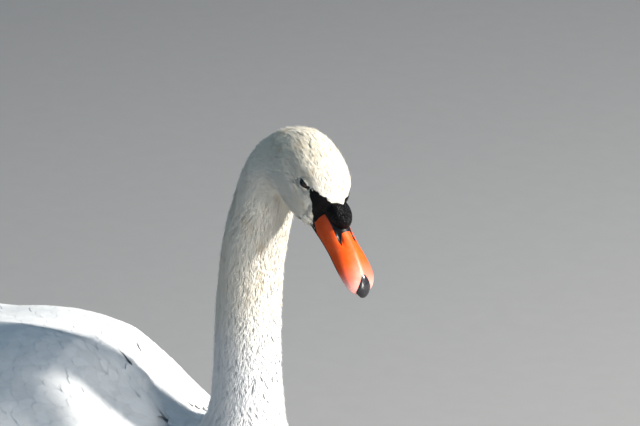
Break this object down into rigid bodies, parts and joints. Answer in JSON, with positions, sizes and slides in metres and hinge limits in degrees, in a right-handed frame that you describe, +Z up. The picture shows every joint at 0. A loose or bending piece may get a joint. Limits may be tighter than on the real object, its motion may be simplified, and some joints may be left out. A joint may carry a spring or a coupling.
{
  "type": "mute swan model",
  "caption": "Life-size still model of an adult mute swan resting on its belly, neck raised in an arch, bill pointing down, wings folded, feet tucked under.",
  "frame": {"origin": "on the floor under the middle of the bird's bounding box", "axes": "+X forward along the body towards the breast, +Y to the bird's left, +Z up"},
  "size_m": [0.9472, 0.3296, 0.5861],
  "materials": {
    "white_plumage": "white contour and flight feathers, matte",
    "cream_plumage": "short cream-tinted plush feathers of the head and neck, matte",
    "orange_bill": "orange horn fading to pink toward the tip, satin",
    "black_bill": "black horn of the knob, nail and lower half, satin",
    "dark_eye": "dark brown eye, glossy",
    "foot_skin": "black scaled skin of the legs and webbed feet, matte"
  },
  "bodies": {
    "root": {"trunk": "white_plumage", "tail": "white_plumage", "wing_left": "white_plumage", "wing_right": "white_plumage", "wingtip_left": "white_plumage", "wingtip_right": "white_plumage", "thigh_left": "white_plumage", "thigh_right": "white_plumage", "neck_lower": "cream_plumage", "neck_middle": "cream_plumage", "neck_upper": "cream_plumage", "head": "cream_plumage", "eye_left": "dark_eye", "eye_right": "dark_eye", "bill_upper": "orange_bill", "bill_lower": "black_bill", "bill_knob": "black_bill", "bill_nail": "black_bill", "leg_left": "foot_skin", "leg_right": "foot_skin", "foot_left": "foot_skin", "foot_right": "foot_skin"}
  },
  "joints": []
}
